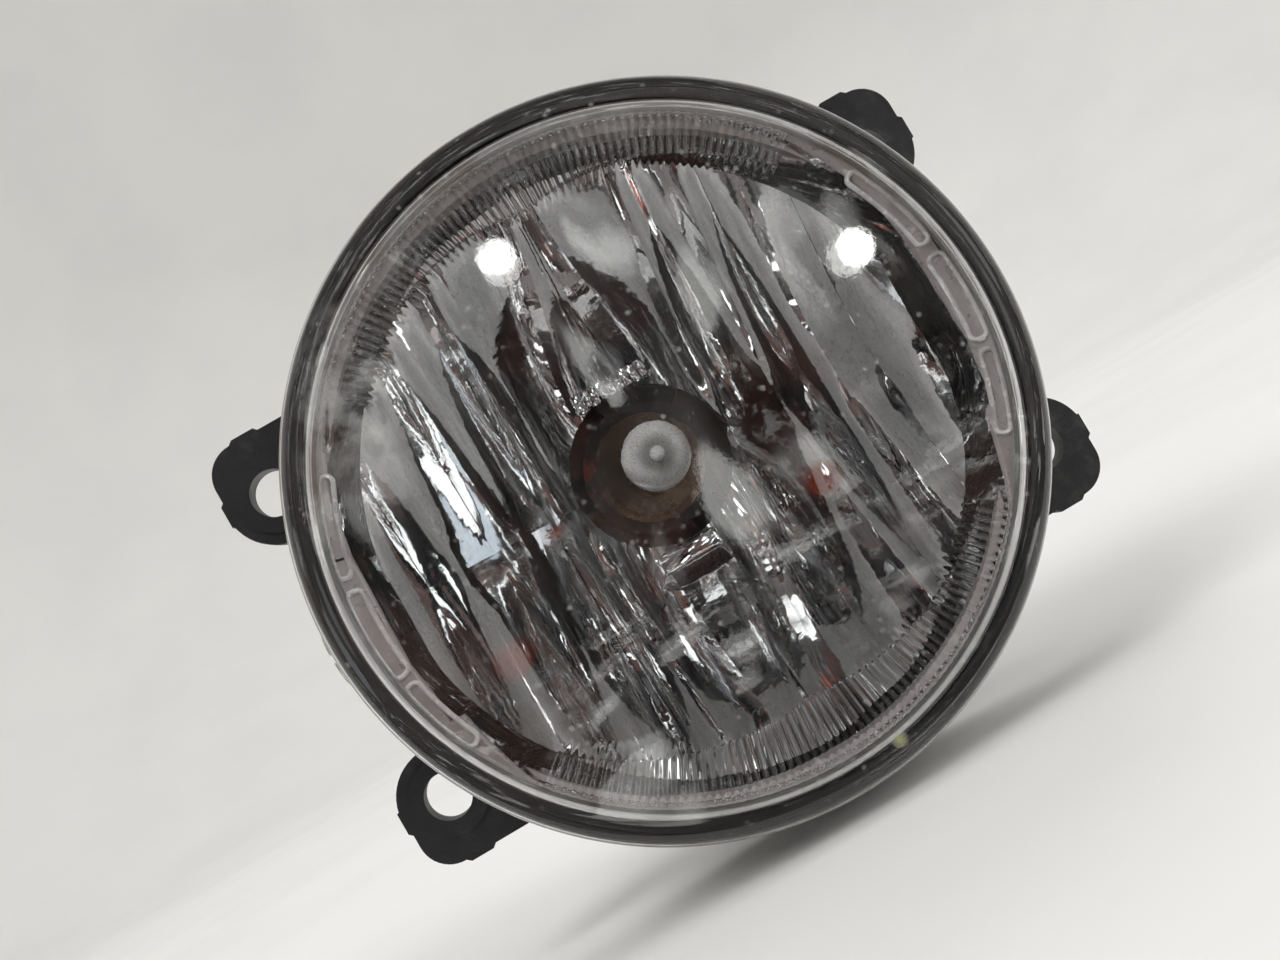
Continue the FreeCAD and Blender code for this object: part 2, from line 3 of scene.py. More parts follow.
import bpy
from mathutils import Matrix, Vector


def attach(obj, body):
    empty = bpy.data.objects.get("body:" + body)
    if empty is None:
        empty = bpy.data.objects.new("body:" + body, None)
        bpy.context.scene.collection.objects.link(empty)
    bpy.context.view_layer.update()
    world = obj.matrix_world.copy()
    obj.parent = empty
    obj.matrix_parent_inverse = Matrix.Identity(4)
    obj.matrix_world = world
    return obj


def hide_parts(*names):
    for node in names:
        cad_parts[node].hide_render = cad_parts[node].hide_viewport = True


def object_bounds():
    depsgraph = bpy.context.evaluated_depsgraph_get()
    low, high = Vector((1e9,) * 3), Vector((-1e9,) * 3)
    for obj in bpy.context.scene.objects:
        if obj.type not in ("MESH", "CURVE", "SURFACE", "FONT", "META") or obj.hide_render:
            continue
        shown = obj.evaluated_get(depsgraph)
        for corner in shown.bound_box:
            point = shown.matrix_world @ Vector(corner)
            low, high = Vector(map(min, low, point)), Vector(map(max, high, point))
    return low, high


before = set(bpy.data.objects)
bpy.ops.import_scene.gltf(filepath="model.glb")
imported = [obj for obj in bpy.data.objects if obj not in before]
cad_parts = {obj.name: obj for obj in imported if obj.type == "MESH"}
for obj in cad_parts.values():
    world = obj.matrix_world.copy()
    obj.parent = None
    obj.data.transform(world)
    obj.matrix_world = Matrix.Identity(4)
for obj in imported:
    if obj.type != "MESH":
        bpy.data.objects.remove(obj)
cad_low, cad_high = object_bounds()

MM = 0.001                          # shapes and spots are given in mm, the stage in metres
OPTICAL_Z = 1.5                     # height of the optical axis


# ---------------------------------------------------------------- helpers

def smooth(t):
    """Smooth step from 0 to 1."""
    t = min(max(t, 0.0), 1.0)
    return t * t * (3 - 2 * t)


def lerp(a, b, t):
    """Value at t between a and b."""
    return a + (b - a) * t


def table(x, points):
    """Value at x of a line through the given (x, value) points."""
    for (x0, v0), (x1, v1) in zip(points, points[1:]):
        if x <= x1:
            return lerp(v0, v1, max(0.0, (x - x0) / (x1 - x0)))
    return points[-1][1]


def turn(count):
    """Angles in radians of equal steps round a full circle."""
    return [2 * math.pi * k / count for k in range(count)]


def arc(centre, radius, start, end, steps):
    """Points along an arc in its plane, angles in degrees."""
    result = []
    for i in range(steps + 1):
        a = math.radians(lerp(start, end, i / steps))
        result.append((centre[0] + radius * math.cos(a), centre[1] + radius * math.sin(a)))
    return result


def circle(radius, y, segments, z=0.0):
    """Ring of points round the Y axis, or its single point where the radius is 0."""
    if radius < 1e-6:
        return [(0.0, y, z)]
    return [(radius * math.cos(a), y, z + radius * math.sin(a)) for a in turn(segments)]


def skin(rings, closed=False, flip=False):
    """Points and faces of a surface through closed rings; a ring of one point is a pole."""
    points, rows, faces = [], [], []
    around = max(len(ring) for ring in rings)
    for ring in rings:
        start = len(points)
        rows.append([start] * around if len(ring) == 1 else list(range(start, start + around)))
        points += ring
    for low, high in zip(rows, rows[1:] + (rows[:1] if closed else [])):
        for k in range(around):
            n = (k + 1) % around
            face = [low[k], high[k], high[n], low[n]] if flip else [low[k], low[n], high[n], high[k]]
            face = [v for i, v in enumerate(face) if v != face[i - 1]]
            if len(face) > 2:
                faces.append(face)
    return points, faces


def lathe(profile, segments, z=0.0):
    """Solid of a closed profile (radius, y) turned round the Y axis."""
    return skin([circle(radius, y, segments, z) for radius, y in profile], closed=True)


def tube(path, radius, sides=8, closed=False):
    """Round wire along a path of points."""
    path = [Vector(p) for p in path]
    last = len(path) - 1
    side = None
    rings = []
    for i, p in enumerate(path):
        before = path[i - 1] if i or closed else p
        after = path[(i + 1) % len(path)] if i < last or closed else p
        along = (after - before).normalized()
        if side is None:
            side = along.orthogonal().normalized()
        side = (side - along * side.dot(along)).normalized()
        up = along.cross(side)
        rings.append([p + side * radius * math.cos(a) + up * radius * math.sin(a) for a in turn(sides)])
    points, faces = skin(rings, closed)
    if not closed:
        faces.append(list(range(sides))[::-1])
        faces.append([last * sides + k for k in range(sides)])
    return points, faces


def merged(*shapes):
    """Several shapes as one."""
    points, faces = [], []
    for more_points, more_faces in shapes:
        start = len(points)
        points += list(more_points)
        faces += [[v + start for v in face] for face in more_faces]
    return points, faces


def piece(name, shape, body, slot, crease, look=None):
    """A mesh piece that rides on a body; edges sharper than crease, in degrees, stay sharp."""
    points, faces = shape
    mesh = bpy.data.meshes.new(name)
    mesh.from_pydata([Vector(p) * MM for p in points], [], faces)
    mesh.validate()
    obj = bpy.data.objects.new(name, mesh)
    bpy.context.scene.collection.objects.link(obj)
    mesh.shade_smooth()
    mesh.set_sharp_from_angle(angle=math.radians(crease))
    mesh.materials.append((look or LOOKS[slot]).material)
    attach(obj, body)
    return obj


# ---------------------------------------------------------------- materials

class Look:
    """A node material built round one Principled shader."""

    def __init__(self, name, colour, roughness, **sockets):
        self.material = bpy.data.materials.new(name)
        self.material.use_nodes = True
        self.tree = self.material.node_tree
        self.shader = self.tree.nodes["Principled BSDF"]
        self.out = self.tree.nodes["Material Output"]
        self.place = self.tree.nodes.new("ShaderNodeTexCoord").outputs["Object"]
        self.set(self.shader, "Base Color", (*colour, 1))
        self.set(self.shader, "Roughness", roughness)
        self.height = None
        for socket, value in sockets.items():
            self.set(self.shader, socket.replace("_", " "), value)

    def set(self, node, socket, value):
        """Gives an input a number or a link."""
        target = node.inputs[socket]
        if isinstance(value, bpy.types.NodeSocket):
            self.tree.links.new(value, target)
        else:
            target.default_value = value

    def add(self, kind, out=0, **sockets):
        """One of the outputs of a new node; lower-case names are its settings, the others its inputs."""
        node = self.tree.nodes.new("ShaderNode" + kind)
        for socket, value in sockets.items():
            if hasattr(node, socket) and socket.islower():
                setattr(node, socket, value)
            else:
                self.set(node, socket.replace("_", " "), value)
        return node.outputs[out]

    def noise(self, scale, detail=3.0, rough=0.55, stretch=None, distortion=0.0):
        place = self.place
        if stretch:
            place = self.add("Mapping", Vector=place, Scale=stretch)
        return self.add("TexNoise", Vector=place, Scale=scale, Detail=detail, Roughness=rough,
                        Distortion=distortion)

    def ramp(self, value, low, high, start=0.0, end=1.0):
        """Value stretched so that low gives start and high gives end, clamped."""
        node = self.tree.nodes.new("ShaderNodeMapRange")
        node.interpolation_type = "SMOOTHSTEP"
        for socket, number in zip(("Value", "From Min", "From Max", "To Min", "To Max"),
                                  (value, low, high, start, end)):
            self.set(node, socket, number)
        return node.outputs["Result"]

    def maths(self, operation, a, b=0.0):
        node = self.tree.nodes.new("ShaderNodeMath")
        node.operation = operation
        self.set(node, 0, a)
        self.set(node, 1, b)
        return node.outputs[0]

    def blend(self, factor, a, b):
        node = self.tree.nodes.new("ShaderNodeMix")
        node.data_type = "RGBA"
        node.clamp_factor = True
        self.set(node, 0, factor)
        for index, value in ((6, a), (7, b)):
            self.set(node, index, value if isinstance(value, bpy.types.NodeSocket) else (*value, 1))
        return node.outputs[2]

    def colour(self, value):
        self.set(self.shader, "Base Color", value)

    def roughness(self, value):
        self.set(self.shader, "Roughness", value)

    def bump(self, height, distance, strength=1.0):
        """Bump on top of the bumps that are there already; distance in metres."""
        node = self.tree.nodes.new("ShaderNodeBump")
        self.set(node, "Height", height)
        self.set(node, "Distance", distance)
        self.set(node, "Strength", strength)
        if self.height is not None:
            self.set(node, "Normal", self.height)
        self.height = node.outputs[0]
        self.set(self.shader, "Normal", self.height)

    def spot(self, centre, size, edge):
        """1 inside a soft ball round a point in mm, 0 outside."""
        gap = self.tree.nodes.new("ShaderNodeVectorMath")
        gap.operation = "DISTANCE"
        self.set(gap, 0, self.place)
        self.set(gap, 1, Vector(centre) * MM)
        return self.ramp(gap.outputs["Value"], (size - edge) * MM, (size + edge) * MM, 1.0, 0.0)


def plastic(name, colour, roughness, grain, dust, wear=(0.10, 0.10, 0.10)):
    """Moulded plastic: grain of a given depth, shade changes, and dust in patches of a pale wear colour."""
    look = Look(name, colour, roughness)
    patches = look.noise(70, 4)
    mask = look.noise(420, 5, 0.65)
    amount = look.maths("MULTIPLY", look.ramp(patches, 0.42, 0.72), look.ramp(mask, 0.45, 0.75))
    base = look.blend(look.ramp(look.noise(35, 2), 0.3, 0.7), colour, [c * 1.35 for c in colour])
    look.colour(look.blend(look.maths("MULTIPLY", amount, dust), base, wear))
    look.roughness(look.ramp(look.noise(180, 4), 0.3, 0.75, roughness - 0.08, roughness + 0.12))
    look.bump(look.noise(3200, 2), 0.00006 * grain)
    look.bump(look.noise(500, 3), 0.00008 * grain, 0.5)
    return look


def metal(name, colour, roughness, brush=(1, 1, 1), stain=None):
    """Metal with fine working marks and a slight change of shade."""
    look = Look(name, colour, roughness, Metallic=1.0)
    marks = look.noise(1400, 3, 0.6, brush)
    shade = look.ramp(look.noise(160, 4), 0.35, 0.7)
    look.colour(look.blend(shade, colour, stain or [c * 0.72 for c in colour]))
    look.roughness(look.ramp(marks, 0.3, 0.7, roughness - 0.06, roughness + 0.12))
    look.bump(marks, 0.00003)
    return look


def clear(look, dust=None, tint=None):
    """Light passes straight through to what is inside, and dust, with any painted highlight, shows as a matt
    film of a tint.
    """
    tree = look.tree
    glass = look.shader.outputs[0]
    if dust is not None:
        film = tree.nodes.new("ShaderNodeBsdfDiffuse")
        look.set(film, "Color", tint)
        mix = tree.nodes.new("ShaderNodeMixShader")
        look.set(mix, 0, dust)
        look.set(mix, 1, glass)
        look.set(mix, 2, film.outputs[0])
        glass = mix.outputs[0]
    through = tree.nodes.new("ShaderNodeBsdfTransparent")
    through.inputs["Color"].default_value = (*CLEAR_SHADOW, 1)
    shade = tree.nodes.new("ShaderNodeMixShader")
    look.set(shade, 0, tree.nodes.new("ShaderNodeLightPath").outputs["Is Shadow Ray"])
    look.set(shade, 1, glass)
    look.set(shade, 2, through.outputs[0])
    look.set(look.out, "Surface", shade.outputs[0])
    return look


CLEAR_SHADOW = (0.92, 0.92, 0.92)   # share of the light that clear pieces let through to what they shade
# tint of the lens's matt film, for dust and for the painted highlights and reflections alike
DUST_AND_SHEEN = (0.62, 0.61, 0.59)
# marks: centre, size and soft edge in mm
# painted reflections: pale matt patches, a milky glow at the upper left and a crescent at the lower right, in
# place of light reflected on the lens
PAINTED_REFLECTION_SPOTS = (((-27, -27, 24), 9, 9), ((33, -27, -13), 4, 6))
PAINT_DOT = ((6.4, -27.6, -41.8), 1.1, 0.6)
RUST = ((-9.0, 15.5, 4.5), 3.6, 1.2)
NUB_FOOT = ((0, -12.4, 1.5), 2.5, 1.0)
NUB = ((0, -12.9, 1.5), 1.2, 0.3)


def lens_look():
    """Clear polycarbonate with fine scratches, dried drops, dust, two pale patches that are painted
    reflections, a dot of paint, and the painted highlights of the mesh's matt-film attribute.
    """
    look = Look("clear_lens", (0.985, 0.99, 0.995), 0.0, Transmission_Weight=1.0, IOR=1.55)
    cells = look.add("TexVoronoi", Vector=look.place, Scale=520.0, Randomness=1.0)
    drops = look.ramp(cells, 0.04, 0.25, 1.0, 0.0)
    drops = look.maths("MULTIPLY", drops, look.ramp(look.noise(95, 3), 0.42, 0.62))
    fine = look.add("TexVoronoi", Vector=look.place, Scale=2300.0, Randomness=1.0)
    specks = look.ramp(fine, 0.10, 0.20, 1.0, 0.0)
    specks = look.maths("MULTIPLY", specks, look.ramp(look.noise(220, 3), 0.56, 0.68))
    cloud = look.ramp(look.noise(150, 5, 0.7), 0.40, 0.75)
    painted_reflection = look.maths("MULTIPLY", look.maths("MAXIMUM", *[look.spot(*area) for area in PAINTED_REFLECTION_SPOTS]), cloud)
    film = look.ramp(look.noise(60, 4), 0.35, 0.8, 0.0, 0.022)
    scratch = look.ramp(look.noise(420, 2, 0.5, (1.0, 1.0, 0.06)), 0.70, 0.74)
    cross = look.ramp(look.noise(420, 2, 0.5, (0.06, 1.0, 1.0)), 0.71, 0.75)
    scratches = look.maths("MAXIMUM", scratch, cross)
    frost_and_sheen = look.add("Attribute", 2, attribute_name="frost_and_sheen")
    paint = look.maths("MULTIPLY", look.spot(*PAINT_DOT), look.ramp(look.noise(900, 3), 0.4, 0.55))
    # the matt film sums real dust, drops, scratches and paint with the painted reflections and the painted
    # highlights of the attribute
    dust = look.maths("MAXIMUM", film, frost_and_sheen)
    for mark, strength in ((drops, 0.26), (specks, 0.30), (painted_reflection, 0.34), (scratches, 0.06), (paint, 0.8)):
        dust = look.maths("MAXIMUM", dust, look.maths("MULTIPLY", mark, strength))
    soil = look.maths("MULTIPLY", look.ramp(look.noise(42, 4, 0.6), 0.50, 0.62), look.ramp(frost_and_sheen, 0.05, 0.12))
    tint = look.blend(look.maths("MULTIPLY", soil, 0.75), DUST_AND_SHEEN, (0.22, 0.15, 0.11))
    tint = look.blend(paint, tint, (0.42, 0.46, 0.03))
    look.bump(look.noise(900, 3), 0.000004)
    return clear(look, dust, tint)


def mirror_look():
    """Vacuum-coated aluminium: near-mirror, with faint moulding ripple and duller patches."""
    look = Look("reflector_mirror", (0.86, 0.865, 0.87), 0.04, Metallic=1.0)
    patches = look.ramp(look.noise(55, 4), 0.35, 0.75)
    look.colour(look.blend(patches, (0.86, 0.865, 0.87), (0.74, 0.75, 0.77)))
    look.roughness(look.ramp(look.noise(240, 4), 0.35, 0.75, 0.01, 0.05))
    look.bump(look.noise(260, 2), 0.00002)
    look.bump(look.noise(1500, 2), 0.0000015)
    return look


def satin_look():
    """The reflector's flange, skirt and back: the same coating over a finely textured face."""
    look = Look("reflector_satin", (0.62, 0.585, 0.575), 0.34, Metallic=0.55)
    cloud = look.ramp(look.noise(70, 5, 0.65), 0.35, 0.72)
    look.colour(look.blend(cloud, (0.66, 0.62, 0.61), (0.40, 0.355, 0.345)))
    look.roughness(look.ramp(look.noise(400, 3), 0.3, 0.7, 0.24, 0.42))
    look.bump(look.noise(1800, 2), 0.00002)
    return look


def tip_look():
    """Satin coating of the bulb tip, with a sparkling grain and a darker ring round the nub."""
    look = Look("bulb_tip_coat", (0.6, 0.6, 0.6), 0.34, Metallic=0.45)
    grain = look.noise(5200, 2, 0.7)
    ring = look.maths("SUBTRACT", look.spot(*NUB_FOOT), look.spot(*NUB))
    pale = look.blend(look.ramp(grain, 0.35, 0.7), (0.70, 0.70, 0.68), (1.0, 1.0, 0.98))
    look.colour(look.blend(look.maths("MULTIPLY", ring, 0.75), pale, (0.16, 0.16, 0.15)))
    look.roughness(look.ramp(grain, 0.3, 0.7, 0.26, 0.46))
    look.bump(grain, 0.00003)
    return look


def base_look():
    """Dark brown moulding of the bulb's base, with a rust-red patch at its left."""
    look = Look("bulb_base_brown", (0.05, 0.028, 0.022), 0.36)
    cloud = look.ramp(look.noise(260, 4), 0.38, 0.7)
    brown = look.blend(cloud, (0.030, 0.018, 0.015), (0.115, 0.075, 0.062))
    patch = look.maths("MULTIPLY", look.spot(*RUST), look.ramp(look.noise(420, 3), 0.35, 0.6))
    look.colour(look.blend(patch, brown, (0.42, 0.045, 0.018)))
    look.roughness(look.ramp(cloud, 0.0, 1.0, 0.28, 0.46))
    look.bump(look.noise(1500, 3), 0.00003)
    return look


def edge_look():
    """Polished raised outlines of the flange's pockets."""
    look = Look("reflector_edges", (0.95, 0.93, 0.92), 0.22, Metallic=0.35)
    look.colour(look.blend(look.ramp(look.noise(300, 4), 0.4, 0.7), (1.0, 0.98, 0.97), (0.66, 0.62, 0.61)))
    look.roughness(look.ramp(look.noise(700, 3), 0.3, 0.7, 0.16, 0.30))
    look.bump(look.noise(1500, 2), 0.00001)
    return look


def glass_look():
    """Clear glass of the bulb with a faint ripple."""
    look = Look("bulb_glass", (0.97, 0.98, 0.98), 0.0, Transmission_Weight=1.0, IOR=1.47)
    look.bump(look.noise(500, 2), 0.000008)
    return clear(look)


def rubber(name, colour, roughness):
    """Matt rubber or cloth with changes of shade and a fine grain."""
    look = Look(name, colour, roughness)
    look.colour(look.blend(look.ramp(look.noise(220, 4), 0.4, 0.7), colour, [c * 1.6 for c in colour]))
    look.roughness(look.ramp(look.noise(300, 3), 0.3, 0.7, roughness - 0.05, roughness + 0.1))
    look.bump(look.noise(2400, 3), 0.00004)
    return look


LOOKS = {
    "bracket_plastic": plastic("bracket_plastic", (0.013, 0.013, 0.014), 0.52, 1.2, 0.5),
    "housing_plastic": plastic("housing_plastic", (0.012, 0.012, 0.013), 0.42, 0.7, 0.45),
    "bulb_plastic": plastic("bulb_plastic", (0.016, 0.015, 0.015), 0.38, 0.5, 0.3),
    "adjuster_plastic": plastic("adjuster_plastic", (0.02, 0.02, 0.021), 0.4, 0.5, 0.3),
    "bush_plastic": plastic("bush_plastic", (0.60, 0.58, 0.52), 0.42, 0.4, 0.3, (0.35, 0.33, 0.29)),
    "clear_lens": lens_look(),
    "seal_rubber": rubber("seal_rubber", (0.008, 0.008, 0.008), 0.6),
    "reflector_mirror": mirror_look(),
    "collar_steel": metal("collar_steel", (0.15, 0.10, 0.085), 0.38, (1, 6, 1), (0.08, 0.05, 0.04)),
    "pin_steel": metal("pin_steel", (0.62, 0.61, 0.58), 0.3, (8, 1, 1)),
    "vent_rubber": rubber("vent_rubber", (0.02, 0.02, 0.02), 0.65),
    "vent_cloth": rubber("vent_cloth", (0.55, 0.55, 0.53), 0.85),
    "screw_steel": metal("screw_steel", (0.55, 0.53, 0.46), 0.34, (1, 1, 1), (0.42, 0.36, 0.22)),
    "o_ring_rubber": rubber("o_ring_rubber", (0.30, 0.045, 0.015), 0.45),
    "cup_steel": metal("cup_steel", (0.17, 0.12, 0.09), 0.22, (0.2, 8, 0.2), (0.12, 0.085, 0.06)),
    "bulb_glass": glass_look(),
    "filament_metal": metal("filament_metal", (0.32, 0.31, 0.30), 0.4),
    "wire_metal": metal("wire_metal", (0.55, 0.54, 0.52), 0.3),
    "terminal_brass": metal("terminal_brass", (0.62, 0.52, 0.30), 0.3, (1, 1, 8), (0.66, 0.62, 0.55)),
}
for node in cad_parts.values():
    for place in node.material_slots:
        place.material = LOOKS[place.material.name.split(".")[0]].material
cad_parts["bulb_base"].material_slots[0].material = base_look().material


# ---------------------------------------------------------------- lens

LENS_RADIUS = 45.6
SHOULDER, SHOULDER_Y = 3.4, -25.2           # rounding of the outer edge and the y of its centre
FACE_TOP_Y = -31.6                          # crown of the outer face
INNER_EDGE, INNER_EDGE_Y = 40.55, -26.0     # outer end of the inner face
INNER_TOP_Y = -29.0                         # crown of the inner face
TONGUE_OUT, TONGUE_IN = 43.85, 42.55        # radii of the tongue that sits in the housing's channel
RIM_BACK_Y, TONGUE_BACK_Y = -16.6, -12.6
CHAMFER = 0.1
FLUTE_PITCH = 1.55                          # degrees between two flutes
FLUTE, BEAD = 0.10, 0.26                    # height of a flute and of the bead at its outer end
FLUTE_BANDS = ((38.8, 141), (219, 322))     # degrees, 90 at the top
# where the rings of the fluted part lie, from its outer end to its inner end
FLUTE_ROWS = (1.0, 0.985, 0.97, 0.955, 0.94, 0.925, 0.90, 0.80, 0.65, 0.5, 0.35, 0.2, 0.08, 0.04, 0.02, 0.0)
# inner end of the upper flutes, by degrees from the top
UPPER_ENDS = ((0, 32.8), (12, 34.3), (25, 35.2), (35, 35.6), (50, 36.3), (90, 36.5))


def flute_inner_radius(angle):
    """Inner end of the flutes; angle in degrees, 90 at the top."""
    if math.sin(math.radians(angle)) > 0:
        return table(abs(angle - 90), UPPER_ENDS)
    return 32.1 + 0.0865 * min(abs(angle - 270), 52)


def flute_height(angle, part):
    """Height of the flutes over the inner face; part is 0 at their inner end, 1 at the outer."""
    band = max(smooth((angle - start) / 1.5) * smooth((end - angle) / 1.5) for start, end in FLUTE_BANDS)
    if band < 0.01 or part <= 0 or part >= 1:
        return 0.0
    ridge = 0.5 - 0.5 * math.cos(2 * math.pi * angle / FLUTE_PITCH)
    body = FLUTE * smooth(part / 0.05) * smooth((0.93 - part) / 0.04)
    bead = BEAD * math.exp(-((part - 0.955) / 0.02) ** 2)
    return band * (body * ridge + bead * ridge ** 2)


def dome(radius, top, edge, edge_y):
    """Height of a shallow dome that passes through (0, top) and (edge, edge_y)."""
    drop = edge_y - top
    big = (edge * edge + drop * drop) / (2 * drop)
    return top + big - math.sqrt(big * big - radius * radius)


def inner_face(radius):
    """The lens's smooth inner face, under the flutes."""
    return dome(radius, INNER_TOP_Y, INNER_EDGE, INNER_EDGE_Y)


def lens_outside():
    """Outer face, shoulder, rim and tongue of the lens as (radius, y, matt film); the film greys the rim's
    outer edge and paints a highlight line on the inner fillet.
    """
    edge = LENS_RADIUS - SHOULDER
    rows = []
    for i in range(15):
        radius = edge * i / 14
        rows.append((radius, dome(radius, FACE_TOP_Y, edge, SHOULDER_Y - SHOULDER), 0.0))
    rim = arc((edge, SHOULDER_Y), SHOULDER, -84, 0, 9)
    rim += [(LENS_RADIUS, -23.0), (LENS_RADIUS, RIM_BACK_Y - CHAMFER), (LENS_RADIUS - CHAMFER, RIM_BACK_Y)]
    rim += [(TONGUE_OUT, RIM_BACK_Y), (TONGUE_OUT, TONGUE_BACK_Y - CHAMFER)]
    rim += [(TONGUE_OUT - CHAMFER, TONGUE_BACK_Y), (TONGUE_IN + CHAMFER, TONGUE_BACK_Y)]
    rim += [(TONGUE_IN, TONGUE_BACK_Y - CHAMFER), (TONGUE_IN, -18.0), (TONGUE_IN, -24.0)]
    for radius, y in rim:
        # painted light: a matt film greys the outer 0.9 mm of the rim, in place of the light the clear edge
        # lets through
        mask = smooth((radius - LENS_RADIUS + 0.9) / 0.6) * smooth((-23.0 - y) / 1.5)
        rows.append((radius, y, 0.03 + 0.3 * mask))
    # painted highlight: the two inner fillet rows carry a heavy matt film that shows as a bright line
    return rows + [(41.96, -25.41, 0.34), (41.3, -25.83, 0.34)]


def build_lens():
    """Lens with two bands of flutes inside; a point attribute says where it carries a matt film: on the rim,
    and as painted highlights on the flutes' ridges and beads.
    """
    segments = 6 * round(360 / FLUTE_PITCH)
    angles = [360.0 * k / segments for k in range(segments)]
    inner_ends = [flute_inner_radius(angle) for angle in angles]
    rows = [[row] * segments for row in lens_outside()]
    for part in FLUTE_ROWS:
        row = []
        for angle, end in zip(angles, inner_ends):
            radius = lerp(end, INNER_EDGE, part)
            # painted highlight: the matt film follows the height of the flutes and their beads and covers a
            # band at their outer end, so the ridges show as light lines and the beads as bright dots
            frost_and_sheen = 0.45 * flute_height(angle, min(part, 0.999)) / BEAD + 0.30 * smooth((part - 0.97) / 0.02)
            row.append((radius, inner_face(radius) + flute_height(angle, part), frost_and_sheen))
        rows.append(row)
    for share in (0.93, 0.8, 0.6, 0.4, 0.2, 0.0):
        rows.append([(end * share, inner_face(end * share), 0.0) for end in inner_ends])
    rings, film = [], []
    for row in rows:
        if row[0][0] < 1e-6:
            row = row[:1]
        rings.append([(radius * math.cos(a), y, radius * math.sin(a))
                      for (radius, y, frost_and_sheen), a in zip(row, turn(segments))])
        film += [frost_and_sheen for radius, y, frost_and_sheen in row]
    lens = piece("lens_with_flutes", skin(rings, flip=True), "lamp_unit", "clear_lens", 35)
    lens.data.attributes.new("frost_and_sheen", "FLOAT", "POINT").data.foreach_set("value", film)
    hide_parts("front_lens")


build_lens()


# ---------------------------------------------------------------- reflector

FOCAL = 15.1                                # focal length of the bowl
OPENING, OPENING_Y = 11.4, 11.0             # radius and depth of the bulb opening
SHELL = 2.0                                 # from the face of the bowl to its back
RIM_WIDE, RIM_HIGH = 37.6, 39.7             # half width and half height of the bowl's rim
ACROSS, ALONG = 16, 72                      # faces across and along a strip
REACH = 28.0                                # height over the opening at which a strip leans in full
RISE = 0.55                                 # scale of the strips' rise
RIBS, RIB_WIDTH, RIB = (0.485, 0.515), 0.012, 0.16   # places, width and height of the middle strip's ribs
WALL_PARTS = (0.3, 0.6, 0.85, 1.0)          # rows of the side wall, from the bowl's rim to the flange
FLANGE_Y = -22.6                            # front of the flange
FLANGE_OUT = 41.8                           # outer radius of the flange
SKIRT = 40.2                                # radius of the skirt behind the flange
FLANGE_INNER = ((90, 41.2), (140, 41.0), (152, 40.2), (165, 39.0), (180, 38.5), (195, 38.9),
                (200.5, 40.0), (201.5, 38.3), (210, 39.6), (218, 41.2), (270, 41.2))
POCKETS = ((153, 170.5, 39.5), (173, 189.4, 39.1), (191.4, 206, 39.4))   # start, end, inner radius
POCKET_OUT = 41.3

# each strip: position of its left edge, lean of that edge with height, and rise of its middle
LEFT = ((-37.0, 0.05, 0.30), (-33.5, 0.05, -0.34), (-29.0, 0.05, 0.36), (-24.5, 0.04, -0.30),
        (-20.5, 0.03, 0.34), (-16.0, 0.02, -0.42))
RIGHT = ((19.5, 0.04, -0.34), (23.0, 0.04, 0.36), (27.0, 0.05, -0.30), (31.5, 0.05, 0.42), (37.0, 0.05, 0.0))
UPPER = (*LEFT, (-12.0, 0.0, 0.50), (-6.1, -0.62, 0.95), (6.1, -0.62, 0.50), (12.0, 0.0, -0.42),
         (15.5, 0.03, 0.32), *RIGHT)
LOWER = (*LEFT, (-12.0, 0.10, 0.55), (-5.2, -0.20, 0.16), (2.2, -0.62, 0.40), (7.4, -0.30, -0.40),
         (12.0, 0.0, 0.44), *RIGHT)
MIDDLE = 7                                  # the wide strip over the opening, with two fine ribs


def bowl(x, z):
    """Depth of the paraboloid at a point."""
    return OPENING_Y + (OPENING ** 2 - x * x - (z - OPTICAL_Z) ** 2) / (4 * FOCAL)


def strip_point(strips, index, u, v, upper):
    """Point on a strip: u across it, v from the axis side to the rim."""
    left, right = strips[index], strips[index + 1]
    x0 = lerp(left[0], right[0], u)
    lean = lerp(left[1], right[1], u)
    sign = 1 if upper else -1
    near = OPTICAL_Z + sign * math.sqrt(max(0.0, OPENING ** 2 - x0 ** 2))
    far = sign * RIM_HIGH * math.sqrt(max(0.0, 1 - (x0 / RIM_WIDE) ** 2))
    if abs(x0) >= abs(strips[0][0]) - 0.1:
        far += OPTICAL_Z
    z = lerp(near, far, v)
    reach = max(0.0, abs(z - OPTICAL_Z) - OPENING) / REACH
    x = x0 * (1 + lean * smooth(reach)) if lean < 0 else x0 * (1 - lean * reach * reach)
    bend = (2 * u - 1) ** 2
    rise = RISE * (left[2] * (1 - bend) if left[2] >= 0 else -left[2] * bend)
    rise *= 0.35 + 0.65 * smooth(abs(z - OPTICAL_Z) / 9.0) + 0.25 * math.sin(z * 0.11 + index * 1.7)
    if upper and index == MIDDLE:
        rise += RIB * sum(math.exp(-((u - place) / RIB_WIDTH) ** 2) for place in RIBS)
    return x, bowl(x, z) - 0.05 - rise, z


def half_bowl(strips, upper):
    """One half of the faceted bowl, a sheet whose strips meet in small steps, and its rim."""
    points, faces, columns = [], [], []
    for index in range(len(strips) - 1):
        wide = 40 if upper and index == MIDDLE else ACROSS
        for i in range(wide + 1):
            columns.append(len(points))
            points += [strip_point(strips, index, i / wide, j / ALONG, upper) for j in range(ALONG + 1)]
    for left, right in zip(columns, columns[1:]):
        for j in range(ALONG):
            face = [left + j, right + j, right + j + 1, left + j + 1]
            faces.append(face if upper else face[::-1])
    return (points, faces), [points[column + ALONG] for column in columns]


def flange_radius(angle):
    """Inner edge of the flat flange; mirrored on the right of the lamp."""
    angle = angle % 360
    if angle < 90 or angle > 270:
        angle = (180 - angle) % 360
    return table(angle, FLANGE_INNER)


